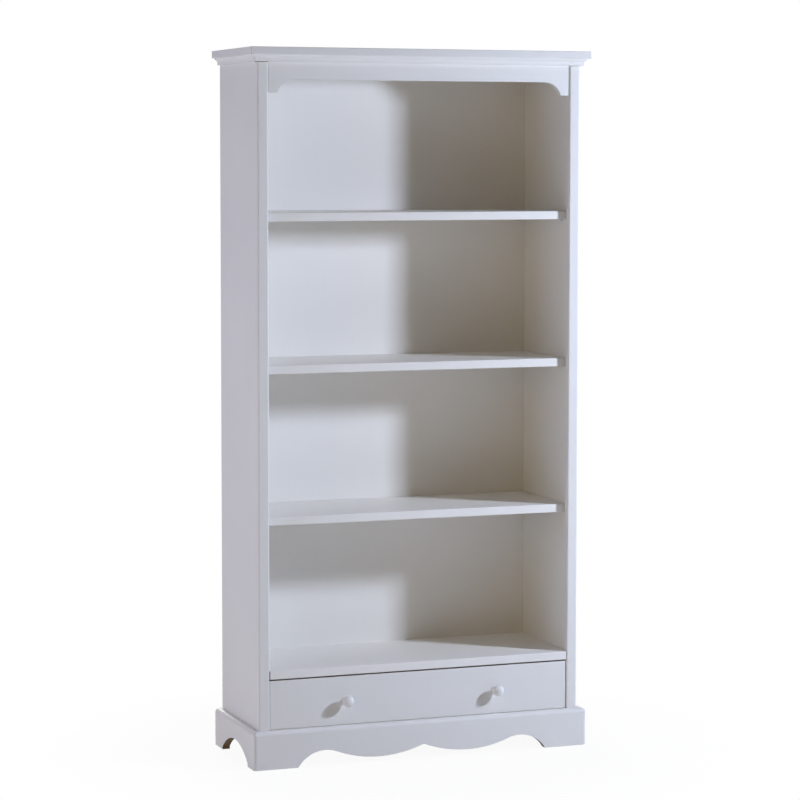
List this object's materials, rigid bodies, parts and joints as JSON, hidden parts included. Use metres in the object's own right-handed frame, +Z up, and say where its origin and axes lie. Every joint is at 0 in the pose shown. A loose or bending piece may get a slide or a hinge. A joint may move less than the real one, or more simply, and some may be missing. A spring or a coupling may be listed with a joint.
{
  "type": "bookcase with bottom drawer",
  "caption": "Painted open bookcase with loose shelves, moulded crown, bracketed valance, scalloped bracket-foot base and one wide inset drawer on roller rails.",
  "frame": {"origin": "on the floor, under the middle of the bookcase's bounding box, knobs included", "axes": "+Z up, -Y to the open front with the drawer, +X to the right as seen from the front"},
  "size_m": [0.934, 0.359, 1.845],
  "materials": {
    "white_paint": "satin paint",
    "pale_paint": "satin paint",
    "knob_paint": "satin paint",
    "pale_wood": "bare",
    "rail_steel": "powder coat",
    "zinc": "zinc plate",
    "nylon": "moulded"
  },
  "bodies": {
    "carcase": {"left_side": "white_paint", "right_side": "white_paint", "left_stile": "white_paint", "right_stile": "white_paint", "back_panel": "pale_paint", "top_panel": "white_paint", "cornice_board": "white_paint", "crown_front": "white_paint", "crown_left": "white_paint", "crown_right": "white_paint", "valance": "white_paint", "upper_shelf": "pale_paint", "middle_shelf": "pale_paint", "lower_shelf": "pale_paint", "deck": "pale_paint", "bottom_panel": "white_paint", "base_apron": "white_paint", "base_left_skirt": "white_paint", "base_right_skirt": "white_paint", "base_corner_blocks": "pale_wood", "base_back_rail": "pale_wood", "shelf_pins": "zinc", "carcase_dowels": "pale_wood", "back_screws": "zinc", "base_screws": "zinc", "left_rail_packer": "pale_wood", "right_rail_packer": "pale_wood", "cabinet_left_rail": "rail_steel", "cabinet_right_rail": "rail_steel", "cabinet_rail_screws": "zinc", "front_axles": "zinc"},
    "drawer": {"drawer_front": "white_paint", "drawer_left_side": "pale_wood", "drawer_right_side": "pale_wood", "drawer_back": "pale_wood", "drawer_bottom": "pale_wood", "drawer_dowels": "pale_wood", "drawer_screws": "zinc", "left_knob": "knob_paint", "right_knob": "knob_paint", "knob_screws": "zinc", "drawer_left_rail": "rail_steel", "drawer_right_rail": "rail_steel", "drawer_rail_screws": "zinc", "rear_axles": "zinc"},
    "front_left_wheel": {"front_left_roller": "nylon"},
    "front_right_wheel": {"front_right_roller": "nylon"},
    "rear_left_wheel": {"rear_left_roller": "nylon"},
    "rear_right_wheel": {"rear_right_roller": "nylon"}
  },
  "joints": [
    {"name": "drawer_slide", "type": "slide", "parent": "carcase", "child": "drawer", "axis": [0, -1, 0], "range_m": [0, 0.2]},
    {"name": "front_left_roll", "type": "hinge", "parent": "carcase", "child": "front_left_wheel", "pos_m": [-0.40905, -0.1095, 0.1173], "axis": [1, 0, 0], "range_deg": [0, 1275]},
    {"name": "front_right_roll", "type": "hinge", "parent": "carcase", "child": "front_right_wheel", "pos_m": [0.40905, -0.1095, 0.1173], "axis": [1, 0, 0], "range_deg": [0, 1275]},
    {"name": "rear_left_roll", "type": "hinge", "parent": "drawer", "child": "rear_left_wheel", "pos_m": [-0.40905, 0.1325, 0.1185], "axis": [1, 0, 0], "range_deg": [0, 1125]},
    {"name": "rear_right_roll", "type": "hinge", "parent": "drawer", "child": "rear_right_wheel", "pos_m": [0.40905, 0.1325, 0.1185], "axis": [1, 0, 0], "range_deg": [0, 1125]}
  ],
  "couplings": [
    {"joint": "front_left_roll", "follows": "drawer_slide", "rad_per_m": 111.11},
    {"joint": "front_right_roll", "follows": "drawer_slide", "rad_per_m": 111.11},
    {"joint": "rear_left_roll", "follows": "drawer_slide", "rad_per_m": 98.039},
    {"joint": "rear_right_roll", "follows": "drawer_slide", "rad_per_m": 98.039}
  ]
}
